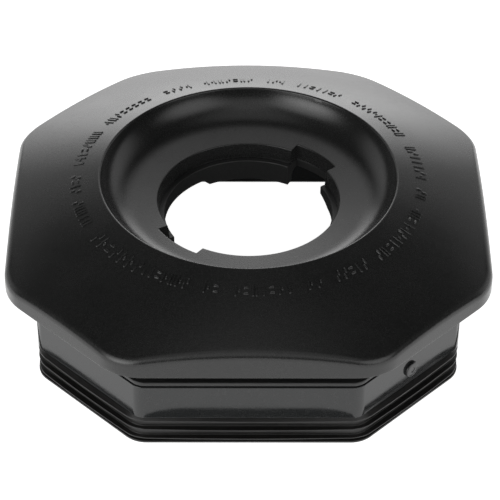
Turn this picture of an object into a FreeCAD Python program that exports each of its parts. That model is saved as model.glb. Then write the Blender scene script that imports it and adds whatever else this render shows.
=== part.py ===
"""Blender jar lid: domed octagonal cover, neck ring, skirt, bayonet collar, finned jar seal and fasteners.

Millimetres. +Z is up. The origin is at the middle of the lid's base, where the jar seal stands.
The lid has flat sides on X and Y, and four corner faces between them.
"""
import FreeCAD, Part
import Sketcher
import os
import re

from FreeCAD import Placement, Rotation, Vector

# ---------------------------------------------------------------------------------------------------------
# Driving dimensions: alias, value in mm or degrees, and what it measures
# ---------------------------------------------------------------------------------------------------------
DIMENSIONS = [
    ("total_height", 60.6, "base of the seal to the crest of the bowl"),
    ("cover_half", 85.0, "cover, centre to flat side"),
    ("cover_cut", 41.0, "cover, leg of each cut corner"),
    ("cover_corner", 20.0, "cover, corner radius in plan"),
    ("cover_wall", 2.5, "cover, wall thickness"),
    ("rim_bottom", 39.15, "height of the rim's lower edge"),
    ("rim_round", 3.0, "rounding of the rim's upper edge"),
    ("crest_reach", 53.2, "radius of the bowl's crest"),
    ("crest_round", 0.5, "half the width of the rounded crest"),
    ("crest_start_drop", 0.16, "fall from the crest's top to where the dome's arc starts"),
    ("dome_radius", 386.0, "radius of the dome's section"),
    ("dome_drop", 14.7, "fall of the dome from the crest to dome_reach"),
    ("dome_reach", 93.0, "radius where dome_drop is measured"),
    ("bowl_radius", 13.0, "concave radius of the bowl's wall"),
    ("bowl_floor_reach", 41.5, "radius where the bowl's wall meets its floor"),
    ("bowl_floor_height", 50.3, "height of the floor at that radius"),
    ("bowl_beyond", 8.0, "depth that a notch cuts below the hub and above the floor"),
    ("lip_reach", 32.7, "radius of the throat's lip"),
    ("lip_height", 49.5, "height of the throat's lip"),
    ("lip_round", 0.4, "rounding of the lip"),
    ("lip_rise", 0.02, "rise of the floor across the lip's rounding"),
    ("throat_reach", 32.0, "radius at the bottom of the hub"),
    ("hub_bottom", 43.5, "height of the hub's lower face"),
    ("hub_reach", 39.5, "outer radius of the hub"),
    ("hub_floor_rise", 0.6, "rise of the floor's underside where it meets the hub"),
    ("notch_reach", 36.5, "outer radius of a bayonet notch"),
    ("notch_angle", 31.0, "width of a bayonet notch, in degrees"),
    ("notch_overlap", 2.0, "how far a notch's profile starts inside the bore"),
    ("notch_middle", 45.0, "direction of the first notch, in degrees"),
    ("cap_bore", 30.2, "radius of the collar's bore"),
    ("collar_wall", 3.0, "wall of the collar's lower ring"),
    ("collar_flange_bottom", 40.1, "height of the collar's flange, lower face"),
    ("ramp_bottom", 37.6, "height of the bayonet track's lower edge"),
    ("stop_bottom", 35.1, "height of the stop lugs' lower edge"),
    ("ramp_start", 29.5, "direction where the lead-in ramp starts"),
    ("ramp_end", 17.0, "direction where the lead-in ramp ends"),
    ("stop_start", -57.0, "direction where the stop lug's chamfer starts"),
    ("stop_full", -62.0, "direction where the stop lug is full height"),
    ("ear_reach", 43.2, "radius of the collar screws' circle"),
    ("ear_radius", 4.0, "radius of an ear of the collar"),
    ("ring_groove_reach", 38.1, "radius of the O-ring's circle"),
    ("ring_section", 0.7, "radius of the O-ring's section"),
    ("neck_half", 71.0, "neck, centre to flat side"),
    ("neck_cut", 34.7, "neck, leg of each cut corner"),
    ("neck_corner", 6.0, "neck, corner radius"),
    ("neck_wall", 2.4, "neck, wall thickness"),
    ("neck_top", 40.0, "height of the neck's upper face"),
    ("gasket_height", 1.5, "thickness of the cover gasket"),
    ("gasket_inset", 0.4, "gasket, set back from each face of the neck"),
    ("skirt_half", 75.0, "skirt, centre to flat side"),
    ("skirt_cut", 37.0, "skirt, leg of each cut corner"),
    ("skirt_corner", 6.0, "skirt, corner radius"),
    ("skirt_wall", 2.5, "skirt, wall thickness"),
    ("ledge_top", 28.1, "height of the ledge's upper face"),
    ("ledge_height", 1.55, "thickness of the ledge"),
    ("parting_gap", 0.75, "height of the parting groove"),
    ("parting_depth", 0.9, "depth of the parting groove"),
    ("flange_height", 2.5, "thickness of the skirt's inner flange"),
    ("flange_reach", 8.8, "width of the inner flanges, from the skirt's face"),
    ("foot_inset", 2.4, "foot, set back from the skirt's face"),
    ("foot_cut", 34.1, "foot, leg of each cut corner"),
    ("foot_corner", 7.5, "foot, corner radius"),
    ("foot_wall", 1.9, "foot, wall thickness"),
    ("foot_bottom", 3.6, "height of the foot's lower edge"),
    ("shoulder_height", 2.0, "thickness of the shoulder that joins the foot to the skirt's wall"),
    ("seal_height", 11.5, "height of the jar seal"),
    ("seal_gap", 0.1, "clearance between the seal and the foot"),
    ("seal_web", 0.9, "thickness of the seal's web"),
    ("seal_base", 1.5, "reach of the seal's base from the foot's face, where its lead-in starts"),
    ("lead_in_height", 2.9, "height of the lead-in's upper end"),
    ("base_lip", 1.0, "height of the lip round the seal's base"),
    ("lip_setback", 0.4, "base lip, set back from the fins' tips"),
    ("base_round", 0.3, "chamfer under the base lip"),
    ("fin_reach", 2.9, "reach of a fin from the foot's face"),
    ("fin_pitch", 4.0, "height from one fin to the next"),
    ("fin_edge", 0.5, "thickness of a fin's edge"),
    ("fin_low", 2.5, "height of the lowest fin's edge"),
    ("fin_taper", 0.3, "how far each face of a fin slopes from its root to its edge"),
    ("top_slope", 1.6, "width of the seal's sloping upper edge"),
    ("plug_height", 18.2, "height of the vent plug's axis"),
    ("plug_head_radius", 3.0, "radius of the vent plug's head"),
    ("plug_head_height", 1.1, "how far the head stands proud"),
    ("plug_shank_radius", 2.0, "radius of the vent plug's shank"),
    ("plug_barb_radius", 2.5, "radius of the barb behind the wall"),
    ("boss_radius", 4.2, "radius of a screw boss"),
    ("boss_inset", 3.9, "boss axis, inwards from the neck's inner face"),
    ("screw_clearance", 1.95, "radius of the screws' clearance holes"),
    ("screw_pilot", 1.55, "radius of the pilot holes in the cover"),
    ("screw_shank", 1.5, "radius of a cover screw's shank"),
    ("screw_length", 19.0, "length of a cover screw under its head"),
    ("screw_head_radius", 3.0, "radius of a cover screw's head"),
    ("screw_head_height", 2.0, "height of a cover screw's head"),
    ("small_clearance", 1.4, "radius of the ears' clearance holes"),
    ("small_pilot", 1.15, "radius of the pilot holes in the hub bosses"),
    ("small_shank", 1.1, "radius of a collar screw's shank"),
    ("small_length", 6.6, "length of a collar screw under its head"),
    ("small_head_radius", 2.2, "radius of a collar screw's head"),
    ("small_head_height", 1.4, "height of a collar screw's head"),
    ("pilot_spare", 0.6, "pilot holes are this much deeper than the screws reach"),
    ("drive_width", 0.9, "width of a screw's cross slot"),
    ("beyond", 20.0, "how far a cutting profile runs past what it cuts"),
]
ALIASES = {alias for alias, _, _ in DIMENSIONS}
UPRIGHT, ACROSS = "XZ_Plane", "XY_Plane"

doc = FreeCAD.newDocument("blender_jar_lid")
sheet = doc.addObject("Spreadsheet::Sheet", "dims")
for row, (alias, value, _) in enumerate(DIMENSIONS, start=1):
    sheet.set(f"A{row}", str(value))
    sheet.setAlias(f"A{row}", alias)
doc.recompute()


# ---------------------------------------------------------------------------------------------------------
# Expressions in the sheet's aliases
# ---------------------------------------------------------------------------------------------------------
def bound(expression):
    """The expression as the document writes it, with every alias read from the sheet."""
    def from_sheet(match):
        return f"dims.{match[0]}" if match[0] in ALIASES else match[0]
    return re.sub(r"[a-z_]+", from_sheet, str(expression))


def number(expression):
    """The expression's value now, in mm or degrees."""
    return float(sheet.evalExpression(bound(expression)))


def inset_cut(cut, inset):
    """The cut-corner leg of an octagon whose eight sides all move inwards by inset."""
    return f"({cut}) - (2 - sqrt(2)) * ({inset})"


def polar(reach, angle):
    """The x and y of a point given by its radius and direction."""
    return f"({reach}) * cos({angle})", f"({reach}) * sin({angle})"


# ---------------------------------------------------------------------------------------------------------
# Sketches. A loop is a list of points: (x, y) ends a straight edge, and (x, y, radius, side) an arc whose
# centre is on the left or right of its chord. Every point and radius is a dimension bound to the sheet.
# ---------------------------------------------------------------------------------------------------------
def plane_of(body, role):
    return next(f for f in body.Origin.OriginFeatures if f.Role == role)


def arc_centre(start, end, radius, side):
    """The centre of the shorter arc from start to end."""
    chord = end - start
    rise = max(radius ** 2 - (chord.Length / 2) ** 2, 0) ** 0.5
    normal = Vector(-chord.y, chord.x, 0).normalize()
    return (start + end) / 2 + normal * (rise if side == "left" else -rise)


def edge_of(start, end, point):
    """The Part geometry of one edge, and which of its ends (1 or 2) is its start in the loop."""
    if len(point) == 2:
        return Part.LineSegment(start, end), 1
    radius = number(point[2])
    circle = Part.Circle(arc_centre(start, end, radius, point[3]), Vector(0, 0, 1), radius)
    first, last = circle.parameter(start), circle.parameter(end)
    if point[3] == "left":
        return Part.ArcOfCircle(circle, first, last), 1
    return Part.ArcOfCircle(circle, last, first), 2


def dimension(sketch, kind, value, *where):
    """One driving dimension, bound to the sheet when it isn't a plain number."""
    index = sketch.addConstraint(Sketcher.Constraint(kind, *where, number(value)))
    if re.search("[a-z]", str(value)):
        sketch.setExpression(f"Constraints[{index}]", bound(value))


def draw_loop(sketch, loop):
    points = [Vector(number(p[0]), number(p[1]), 0) for p in loop]
    edges = []
    for i, point in enumerate(loop):
        geometry, first_end = edge_of(points[i - 1], points[i], point)
        edges.append((sketch.addGeometry(geometry, False), first_end, 3 - first_end))
    for i, (edge, first_end, last_end) in enumerate(edges):
        before, _, before_end = edges[i - 1]
        sketch.addConstraint(Sketcher.Constraint("Coincident", before, before_end, edge, first_end))
        dimension(sketch, "DistanceX", loop[i][0], -1, 1, edge, last_end)
        dimension(sketch, "DistanceY", loop[i][1], -1, 1, edge, last_end)
        if len(loop[i]) > 2:
            dimension(sketch, "Radius", loop[i][2], edge)


def sketch_on(body, name, role, loops=(), circles=(), height="0", turn="0"):
    """A sketch on one of the body's origin planes, moved up by height and turned about Z by turn."""
    sketch = body.newObject("Sketcher::SketchObject", name)
    sketch.AttachmentSupport = [(plane_of(body, role), "")]
    sketch.MapMode = "FlatFace"
    upward, spin = ("z", Vector(0, 0, 1)) if role == ACROSS else ("y", Vector(0, 1, 0))
    sketch.AttachmentOffset = Placement(Vector(), Rotation(spin, number(turn)))
    sketch.setExpression(f"AttachmentOffset.Base.{upward}", bound(height))
    for loop in loops:
        draw_loop(sketch, loop)
    for x, y, radius in circles:
        circle = Part.Circle(Vector(number(x), number(y), 0), Vector(0, 0, 1), number(radius))
        index = sketch.addGeometry(circle, False)
        dimension(sketch, "DistanceX", x, -1, 1, index, 3)
        dimension(sketch, "DistanceY", y, -1, 1, index, 3)
        dimension(sketch, "Radius", radius, index)
    return sketch


def octagon(half, cut, corner):
    """A rounded octagon's loop, anticlockwise, with flat sides on X and Y. It starts in the middle of +X."""
    side = f"(({half}) - ({cut}))"
    back = f"(({corner}) * tan(22.5))"
    step = f"(({corner}) * tan(22.5) * sqrt(0.5))"
    quarter = [
        (half, f"{side} - {back}"),
        (f"{half} - {step}", f"{side} + {step}", corner, "left"),
        (f"{side} + {step}", f"{half} - {step}"),
        (f"{side} - {back}", half, corner, "left"),
    ]
    loop = []
    for turn in range(4):
        for x, y, *arc in quarter:
            x, y = [(x, y), (f"-({y})", x), (f"-({x})", f"-({y})"), (y, f"-({x})")][turn]
            loop.append((x, y, *arc))
    return [(half, "0")] + loop


def octagon_band(half, cut, corner, wall):
    """The outer and inner loops of an octagonal wall of even thickness."""
    inner = octagon(f"({half} - {wall})", inset_cut(cut, wall), f"({corner} - {wall})")
    return [octagon(half, cut, corner), inner]


def sector(inner, outer, start, end):
    """A piece of a ring between two directions, anticlockwise from start to end."""
    return [
        (*polar(inner, start), inner, "right"),
        polar(outer, start),
        (*polar(outer, end), outer, "left"),
        polar(inner, end),
    ]


# ---------------------------------------------------------------------------------------------------------
# Features
# ---------------------------------------------------------------------------------------------------------
def new_body(name):
    body = doc.addObject("PartDesign::Body", name)
    body.Label = name
    return body


def add_feature(body, kind, sketch, length, upward=True):
    feature = body.newObject(f"PartDesign::{kind}", f"{sketch.Name}_{kind.lower()}")
    feature.Profile = sketch
    feature.setExpression("Length", bound(length))
    feature.Reversed = not upward
    doc.recompute()
    sketch.Visibility = False
    return feature


def pad(body, sketch, length, upward=True):
    """Material on the sketch, up or down from it. A drawing on the upright plane grows along +Y."""
    return add_feature(body, "Pad", sketch, length, upward)


def pocket(body, sketch, length, upward=True):
    """The sketch cut out, up or down from it, checked by volume."""
    before = body.Shape.Volume
    feature = add_feature(body, "Pocket", sketch, length, not upward)
    if not body.Shape.Volume < before - 1e-6:
        raise RuntimeError(f"{feature.Name} cuts nothing")
    return feature


def turned(body, kind, sketch):
    """A Revolution or a Groove of the sketch, all the way round Z."""
    feature = body.newObject(f"PartDesign::{kind}", f"{sketch.Name}_{kind.lower()}")
    feature.Profile = sketch
    feature.ReferenceAxis = (sketch, ["V_Axis"])
    feature.Angle = 360
    doc.recompute()
    return feature


def repeated(body, features, count):
    """The features repeated evenly round Z."""
    pattern = body.newObject("PartDesign::PolarPattern", f"{features[-1].Name}_pattern")
    pattern.Originals = features
    pattern.Axis = (plane_of(body, "Z_Axis"), [""])
    pattern.Angle = 360
    pattern.Occurrences = count
    body.Tip = pattern
    doc.recompute()
    return pattern


def rounded(body, radius, wanted):
    """A fillet on the edges of the body's present shape that wanted accepts."""
    base = body.Tip
    names = [f"Edge{i}" for i, edge in enumerate(base.Shape.Edges, start=1) if wanted(edge)]
    fillet = body.newObject("PartDesign::Fillet", f"{body.Name}_{radius}")
    fillet.Base = (base, names)
    fillet.setExpression("Radius", bound(radius))
    doc.recompute()
    return fillet


def span(edge):
    """The least and greatest distance of an edge from Z, and its least and greatest height."""
    places = [edge.valueAt(edge.FirstParameter + f * (edge.LastParameter - edge.FirstParameter))
              for f in (0, 0.25, 0.5, 0.75, 1)]
    reach = [(p.x ** 2 + p.y ** 2) ** 0.5 for p in places]
    height = [p.z for p in places]
    return min(reach), max(reach), min(height), max(height)


def boolean(kind, label, base, tool):
    result = doc.addObject(f"Part::{kind}", label)
    result.Base = base
    result.Tool = tool
    result.Label = label
    doc.recompute()
    return result


# ---------------------------------------------------------------------------------------------------------
# Where things are
# ---------------------------------------------------------------------------------------------------------
NECK_INNER = "(neck_half - neck_wall)"
NECK_DIAGONAL = "((2 * neck_half - neck_cut) / sqrt(2) - neck_wall)"
BOSS_FAR = f"({NECK_INNER} - boss_inset)"
BOSS_NEAR = f"(({NECK_DIAGONAL} - boss_inset) * sqrt(2) - {BOSS_FAR})"
BOSSES = [(BOSS_FAR, BOSS_NEAR), (BOSS_NEAR, BOSS_FAR)]     # two of the eight; the rest by quarter turns
LEDGE_BOTTOM = "(ledge_top - ledge_height)"
FLANGE_BOTTOM = f"({LEDGE_BOTTOM} - flange_height)"


def all_bosses(radius):
    """Circles of that radius on the eight cover screws' axes."""
    circles = []
    for x, y in BOSSES:
        circles += [(x, y, radius), (f"-{y}", x, radius), (f"-{x}", f"-{y}", radius), (y, f"-{x}", radius)]
    return circles


def all_ears(radius):
    """Circles of that radius on the four collar screws' axes."""
    return [("ear_reach", "0", radius), ("0", "ear_reach", radius),
            ("-ear_reach", "0", radius), ("0", "-ear_reach", radius)]


def notch(inner):
    """A bayonet notch, from the inner radius out to notch_reach."""
    return sector(inner, "notch_reach", "notch_middle - notch_angle / 2", "notch_middle + notch_angle / 2")


# ---------------------------------------------------------------------------------------------------------
# The cover: a solid dome, less the core that hollows it from below
# ---------------------------------------------------------------------------------------------------------
UNDER_DOME = "(cover_wall * 1.05)"        # the wall's height, measured upright through the sloping dome
UNDER_CREST = "(cover_wall * 1.4)"         # the same under the crest, where the bowl's wall starts
SLOPE_BEYOND = 0.45                        # slope of the profile past the dome's arc, outside the rim


def dome_end(lowered):
    """The end of the dome's arc, lowered, and the space round it as far as the profile reaches."""
    far, height = "(dome_reach + beyond)", f"(total_height - dome_drop - {lowered})"
    return height, [(far, f"{height} - beyond * {SLOPE_BEYOND}"), (far, "total_height + beyond")]


def space_above_cover():
    """What lies above the dome and the bowl, and inside the throat."""
    height, outside = dome_end("0")
    return [
        ("0", "total_height + beyond"),
        ("0", "rim_bottom - beyond"),
        ("throat_reach", "rim_bottom - beyond"),
        ("throat_reach", "hub_bottom"),
        ("lip_reach", "lip_height - lip_round"),
        ("lip_reach + lip_round", "lip_height + lip_rise", "lip_round", "right"),
        ("bowl_floor_reach", "bowl_floor_height"),
        ("crest_reach - crest_round", "total_height - crest_round", "bowl_radius", "left"),
        ("crest_reach + crest_round", "total_height - crest_start_drop", "crest_round * 1.4", "right"),
        ("dome_reach", height, "dome_radius", "right"),
        *outside,
    ]


def space_above_core():
    """What lies above the cover's inner faces: the dome's and the bowl's, and all that the hub fills."""
    height, outside = dome_end(UNDER_DOME)
    return [
        ("0", "total_height + beyond"),
        ("0", "hub_bottom"),
        ("hub_reach", "hub_bottom"),
        ("hub_reach", "lip_height + hub_floor_rise - cover_wall"),
        ("bowl_floor_reach", "bowl_floor_height - cover_wall"),
        ("crest_reach + cover_wall", f"total_height - {UNDER_CREST}", "bowl_radius + cover_wall", "left"),
        ("dome_reach", height, "dome_radius - cover_wall", "right"),
        *outside,
    ]


def is_rim_edge(edge):
    """Whether an edge of the cover's solid is one between its sides and the dome."""
    low_reach, _, low, high = span(edge)
    outside_text, face, nearly_level = number("crest_reach + 10"), number("rim_bottom + 1"), 4
    return low_reach > outside_text and low > face and high - low < nearly_level


def make_top_cover():
    solid = new_body("cover_solid")
    outline = octagon("cover_half", "cover_cut", "cover_corner")
    plan = sketch_on(solid, "cover_plan", ACROSS, [outline], height="rim_bottom")
    pad(solid, plan, "total_height + cover_wall - rim_bottom")
    turned(solid, "Groove", sketch_on(solid, "cover_profile", UPRIGHT, [space_above_cover()]))
    notches = sketch_on(solid, "cover_notch", ACROSS, [notch("(throat_reach - notch_overlap)")],
                        height="hub_bottom - bowl_beyond")
    repeated(solid, [pocket(solid, notches, "lip_height - hub_bottom + 2 * bowl_beyond")], 2)
    rounded(solid, "rim_round", is_rim_edge)

    core = new_body("cover_core")
    hollow = octagon("(cover_half - cover_wall)", inset_cut("cover_cut", "cover_wall"),
                     "(cover_corner - cover_wall)")
    plan = sketch_on(core, "core_plan", ACROSS, [hollow], height="rim_bottom - cover_wall")
    pad(core, plan, "total_height + 2 * cover_wall - rim_bottom")
    turned(core, "Groove", sketch_on(core, "core_profile", UPRIGHT, [space_above_core()]))
    rib = octagon_band("neck_half", "neck_cut", "neck_corner", "neck_wall")
    ribs = sketch_on(core, "core_rib", ACROSS, rib, height="neck_top + gasket_height")
    pocket(core, ribs, "beyond")
    bosses = sketch_on(core, "core_bosses", ACROSS, circles=all_bosses("boss_radius"), height="neck_top")
    pocket(core, bosses, "beyond")
    ears = sketch_on(core, "core_ears", ACROSS, circles=all_ears("ear_radius"), height="hub_bottom")
    pocket(core, ears, "beyond")
    pilots = sketch_on(core, "core_pilots", ACROSS, circles=all_bosses("screw_pilot"), height="neck_top")
    pad(core, pilots, f"{FLANGE_BOTTOM} + screw_length + pilot_spare - neck_top")
    pilots = sketch_on(core, "core_ear_pilots", ACROSS, circles=all_ears("small_pilot"), height="hub_bottom")
    pad(core, pilots, "collar_flange_bottom + small_length + pilot_spare - hub_bottom")
    return boolean("Cut", "top_cover", solid, core)


# ---------------------------------------------------------------------------------------------------------
# Neck ring, cover gasket and skirt
# ---------------------------------------------------------------------------------------------------------
def make_neck_ring():
    body = new_body("neck_ring")
    wall = octagon_band("neck_half", "neck_cut", "neck_corner", "neck_wall")
    pad(body, sketch_on(body, "neck_walls", ACROSS, wall, height=LEDGE_BOTTOM), f"neck_top - {LEDGE_BOTTOM}")
    ledge = octagon_band("skirt_half", "skirt_cut", "(flange_reach + 1)", "flange_reach")
    ledge[0] = octagon("skirt_half", "skirt_cut", "skirt_corner")
    pad(body, sketch_on(body, "neck_ledge", ACROSS, ledge, height=LEDGE_BOTTOM), "ledge_height")
    bosses = sketch_on(body, "neck_bosses", ACROSS, circles=all_bosses("boss_radius"), height=LEDGE_BOTTOM)
    pad(body, bosses, f"neck_top - {LEDGE_BOTTOM}")
    holes = sketch_on(body, "neck_holes", ACROSS, circles=all_bosses("screw_clearance"), height=LEDGE_BOTTOM)
    pocket(body, holes, f"neck_top - {LEDGE_BOTTOM}")
    return body


def make_cover_gasket():
    body = new_body("cover_gasket")
    band = octagon_band("(neck_half - gasket_inset)", inset_cut("neck_cut", "gasket_inset"),
                        "(neck_corner - gasket_inset)", "(neck_wall - 2 * gasket_inset)")
    pad(body, sketch_on(body, "gasket_plan", ACROSS, band, height="neck_top"), "gasket_height")
    return body


def make_skirt_body():
    body = new_body("skirt_body")
    foot = octagon_band("(skirt_half - foot_inset)", "foot_cut", "foot_corner", "foot_wall")
    pad(body, sketch_on(body, "foot_plan", ACROSS, foot, height="foot_bottom"),
        "seal_height + shoulder_height - foot_bottom")
    wall = octagon_band("skirt_half", "skirt_cut", "skirt_corner", "skirt_wall")
    pad(body, sketch_on(body, "skirt_walls", ACROSS, wall, height="seal_height + seal_gap"),
        f"{LEDGE_BOTTOM} - parting_gap - seal_height - seal_gap")
    shoulder = octagon_band("skirt_half", "skirt_cut", "skirt_corner", "(foot_inset + foot_wall)")
    pad(body, sketch_on(body, "shoulder_plan", ACROSS, shoulder, height="seal_height + seal_gap"),
        "shoulder_height")
    flange = octagon_band("(skirt_half - parting_depth)", inset_cut("skirt_cut", "parting_depth"),
                          "(flange_reach + 1)", "(flange_reach - parting_depth)")
    flange[0] = octagon("(skirt_half - parting_depth)", inset_cut("skirt_cut", "parting_depth"),
                        "(skirt_corner - parting_depth)")
    pad(body, sketch_on(body, "skirt_flange", ACROSS, flange, height=FLANGE_BOTTOM), "flange_height")
    bosses = sketch_on(body, "skirt_bosses", ACROSS, circles=all_bosses("boss_radius"), height=FLANGE_BOTTOM)
    pad(body, bosses, "flange_height")
    holes = sketch_on(body, "skirt_holes", ACROSS, circles=all_bosses("screw_clearance"),
                      height=FLANGE_BOTTOM)
    pocket(body, holes, "flange_height")
    vent = sketch_on(body, "vent_hole", UPRIGHT, circles=[("0", "0", "plug_shank_radius + 0.05")],
                     height="plug_height", turn="45")
    pocket(body, vent, "beyond * 5", upward=True)
    return body


# ---------------------------------------------------------------------------------------------------------
# Bayonet collar and its O-ring
# ---------------------------------------------------------------------------------------------------------
def make_bayonet_collar():
    body = new_body("bayonet_collar")
    ring_outer = "(cap_bore + collar_wall)"
    groove_low = "(hub_bottom - 2 * ring_section)"
    section = [
        ("cap_bore", "stop_bottom"),
        (ring_outer, "stop_bottom"),
        (ring_outer, "collar_flange_bottom"),
        ("hub_reach", "collar_flange_bottom"),
        ("hub_reach", "hub_bottom"),
        ("ring_groove_reach + ring_section", "hub_bottom"),
        ("ring_groove_reach + ring_section", groove_low),
        ("ring_groove_reach - ring_section", groove_low),
        ("ring_groove_reach - ring_section", "hub_bottom"),
        ("cap_bore + 0.4", "hub_bottom"),
        ("cap_bore", "hub_bottom - 0.4"),
    ]
    turned(body, "Revolution", sketch_on(body, "collar_section", UPRIGHT, [section]))
    ear_height = "hub_bottom - collar_flange_bottom"
    ears = sketch_on(body, "collar_ears", ACROSS, circles=all_ears("ear_radius"),
                     height="collar_flange_bottom")
    pad(body, ears, ear_height)
    holes = sketch_on(body, "ear_holes", ACROSS, circles=all_ears("small_clearance"),
                      height="collar_flange_bottom")
    pocket(body, holes, ear_height)
    gap = sketch_on(body, "collar_notch", ACROSS, [notch("(cap_bore - 2)")], height="stop_bottom")
    cuts = [pocket(body, gap, "hub_bottom - stop_bottom")]
    track = sector("(cap_bore - 2)", f"({ring_outer} + 1)", "stop_start", "ramp_start")
    cuts.append(pocket(body, sketch_on(body, "collar_track", ACROSS, [track], height="stop_bottom"),
                       "ramp_bottom - stop_bottom"))
    # the stop lug's chamfer and the lead-in ramp, each drawn as seen from the axis
    lug_half = "(cap_bore * tan((stop_start - stop_full) / 2))"
    lug = [(f"-{lug_half}", "stop_bottom"), (lug_half, "stop_bottom"), (lug_half, "ramp_bottom")]
    cuts.append(pocket(body, sketch_on(body, "lug_chamfer", UPRIGHT, [lug],
                                       turn="90 + (stop_start + stop_full) / 2"), "beyond * 5"))
    ramp_half = "(cap_bore * tan((ramp_start - ramp_end) / 2) + 0.4)"
    ramp = [(f"-{ramp_half}", "ramp_bottom - 0.01"), (ramp_half, "ramp_bottom - 0.01"),
            (ramp_half, "collar_flange_bottom")]
    cuts.append(pocket(body, sketch_on(body, "lead_in_ramp", UPRIGHT, [ramp],
                                       turn="90 + (ramp_start + ramp_end) / 2"), "beyond * 5"))
    repeated(body, cuts, 2)
    return body


def make_throat_o_ring():
    ring = doc.addObject("Part::Torus", "throat_o_ring")
    ring.setExpression("Radius1", bound("ring_groove_reach"))
    ring.setExpression("Radius2", bound("ring_section"))
    ring.setExpression("Placement.Base.z", bound("hub_bottom - ring_section"))
    return ring


# ---------------------------------------------------------------------------------------------------------
# Jar seal: one section carried round the foot
# ---------------------------------------------------------------------------------------------------------
def make_jar_seal():
    body = new_body("jar_seal")
    half = "(skirt_half - foot_inset + seal_gap)"
    outline = octagon(half, inset_cut("foot_cut", "(-seal_gap)"), "(foot_corner + seal_gap)")
    path = sketch_on(body, "seal_path", ACROSS, [outline])
    web, tip = f"({half} + seal_web)", f"({half} + fin_reach)"
    lip = f"({tip} - lip_setback)"
    section = [
        (half, "seal_height"),
        (half, "foot_bottom - seal_gap"),
        (f"{half} - foot_wall", "foot_bottom - seal_gap"),
        (f"{half} - foot_wall", "lead_in_height"),
        (f"{half} + seal_base", "0"),
        (f"{lip} - base_round", "0"),
        (lip, "base_round"),
        (lip, "base_lip"),
        (web, "base_lip + fin_taper"),
    ]
    for level in range(3):
        edge = f"(fin_low + {level} * fin_pitch)"
        section += [(web, f"{edge} - fin_edge - fin_taper"), (tip, f"{edge} - fin_edge"), (tip, edge)]
        if level < 2:
            section.append((web, f"{edge} + fin_taper"))
    section.append((f"{tip} - top_slope", "seal_height"))
    profile = sketch_on(body, "seal_section", UPRIGHT, [section])
    doc.recompute()
    pipe = body.newObject("PartDesign::AdditivePipe", "seal_sweep")
    pipe.Profile = profile
    pipe.Spine = (path, [])
    doc.recompute()
    return body


# ---------------------------------------------------------------------------------------------------------
# Vent plug and screws
# ---------------------------------------------------------------------------------------------------------
def make_vent_plug():
    """Turned about its own axis, then laid in the right front corner face, head outwards."""
    body = new_body("vent_plug")
    back = "(skirt_wall + 0.1)"
    section = [
        ("0", "plug_head_height"),
        ("0", f"-{back} - 1.6"),
        ("plug_shank_radius - 0.6", f"-{back} - 1.6"),
        ("plug_barb_radius", f"-{back} - 0.4"),
        ("plug_barb_radius", f"-{back}"),
        ("plug_shank_radius", f"-{back}"),
        ("plug_shank_radius", "0.02"),
        ("plug_head_radius", "0.02"),
        ("plug_head_radius", "plug_head_height - 0.5"),
        ("plug_head_radius - 0.5", "plug_head_height", "0.5", "left"),
    ]
    turned(body, "Revolution", sketch_on(body, "plug_section", UPRIGHT, [section]))
    face = number("(2 * skirt_half - skirt_cut) / sqrt(2)")
    outward = Vector(1, -1, 0).normalize()
    body.Placement = Placement(outward * face + Vector(0, 0, number("plug_height")),
                               Rotation(Vector(0, 0, 1), outward))
    return body


def pan_screw(shank, length, head, head_height):
    """A pan-head screw as a shape: head below the origin, with a cross slot, and shank upwards."""
    radius, rise = number(head), number(head_height)
    slot, depth = number("drive_width"), rise * 0.6
    solid = Part.makeCylinder(radius, rise, Vector(0, 0, -rise))
    lower_edges = [edge for edge in solid.Edges if abs(edge.CenterOfMass.z + rise) < 1e-6]
    solid = solid.makeFillet(rise * 0.35, lower_edges)
    point = number(shank) * 1.5
    solid = solid.fuse(Part.makeCylinder(number(shank), number(length) - point))
    tip = Part.makeCone(number(shank), number(shank) * 0.3, point, Vector(0, 0, number(length) - point))
    solid = solid.fuse(tip).removeSplitter()
    for along, across in ((radius * 1.2, slot), (slot, radius * 1.2)):
        solid = solid.cut(Part.makeBox(along, across, depth, Vector(-along / 2, -across / 2, -rise)))
    return solid


def make_screws(label, screw, places, height):
    """One node that holds a screw at each place, as separate solids."""
    group = doc.addObject("Part::Feature", label)
    copies = []
    for x, y, _ in places:
        copy = screw.copy()
        copy.translate(Vector(number(x), number(y), 0))
        copies.append(copy)
    group.Shape = Part.makeCompound(copies)
    group.Placement = Placement(Vector(0, 0, number(height)), Rotation())
    return group


def make_cover_screws():
    screw = pan_screw("screw_shank", "screw_length", "screw_head_radius", "screw_head_height")
    return make_screws("cover_screws", screw, all_bosses("screw_shank"), FLANGE_BOTTOM)


def make_collar_screws():
    screw = pan_screw("small_shank", "small_length", "small_head_radius", "small_head_height")
    return make_screws("collar_screws", screw, all_ears("small_shank"), "collar_flange_bottom")


# ---------------------------------------------------------------------------------------------------------
# The lid
# ---------------------------------------------------------------------------------------------------------
nodes = {
    "top_cover": make_top_cover(),
    "neck_ring": make_neck_ring(),
    "cover_gasket": make_cover_gasket(),
    "skirt_body": make_skirt_body(),
    "bayonet_collar": make_bayonet_collar(),
    "throat_o_ring": make_throat_o_ring(),
    "jar_seal": make_jar_seal(),
    "vent_plug": make_vent_plug(),
    "cover_screws": make_cover_screws(),
    "collar_screws": make_collar_screws(),
}
doc.recompute()

for thing in doc.Objects:
    if "Invalid" in thing.State or "Error" in thing.State:
        raise RuntimeError(f"{thing.Name} failed: {thing.State}")

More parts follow.
